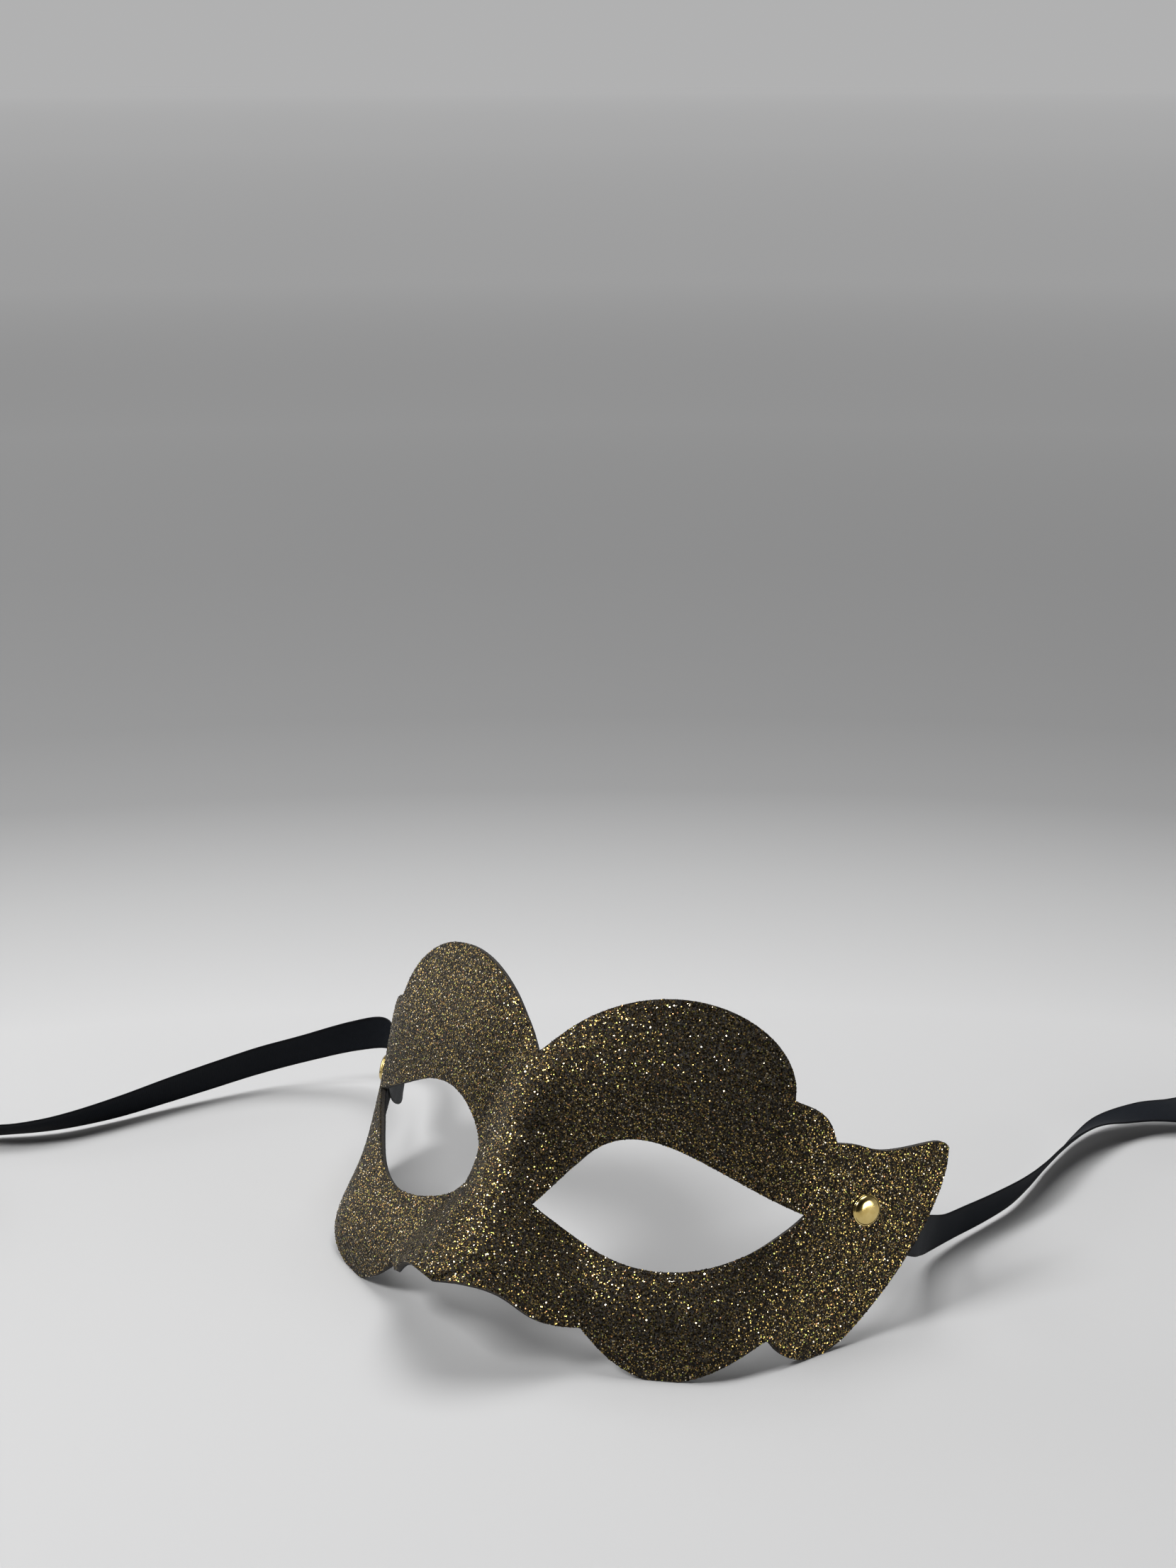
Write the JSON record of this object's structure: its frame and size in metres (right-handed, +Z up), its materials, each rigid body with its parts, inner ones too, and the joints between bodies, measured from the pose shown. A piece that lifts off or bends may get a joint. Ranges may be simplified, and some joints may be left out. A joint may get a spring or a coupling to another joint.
{
  "type": "venetian masquerade mask",
  "caption": "Glitter-faced half mask with a scalloped edge and almond eye holes, leaning on its lower lobes, with ribbon ties that swivel on domed rivets.",
  "frame": {"origin": "on the floor under the centre of the mask's box, which leaves out the free ribbons", "axes": "+Z up, the face looks along -Y, +X towards the wing on the right as seen from in front"},
  "size_m": [0.376, 0.3, 0.0753],
  "materials": {
    "glitter": "gold and black glitter",
    "card": "dark dyed card",
    "felt": "black felt",
    "rivet": "polished",
    "ribbon": "black satin"
  },
  "bodies": {
    "mask": {"glitter_face": "glitter", "card_core": "card", "felt_lining": "felt", "left_rivet_cap": "rivet", "left_rivet_post": "rivet", "right_rivet_cap": "rivet", "right_rivet_post": "rivet"},
    "left_tie": {"left_ribbon_end": "ribbon", "left_ribbon": "ribbon", "left_ribbon_coil": "ribbon"},
    "right_tie": {"right_ribbon_end": "ribbon", "right_ribbon": "ribbon", "right_ribbon_coil": "ribbon"}
  },
  "joints": [
    {"name": "left_ribbon_swivel", "type": "hinge", "parent": "mask", "child": "left_tie", "pos_m": [-0.06722, 0.02477, 0.02892], "axis": [0.866, 0.4619, -0.1913], "range_deg": [-20, 45]},
    {"name": "right_ribbon_swivel", "type": "hinge", "parent": "mask", "child": "right_tie", "pos_m": [0.06722, 0.02477, 0.02892], "axis": [0.866, -0.4619, 0.1913], "range_deg": [-20, 45]}
  ]
}
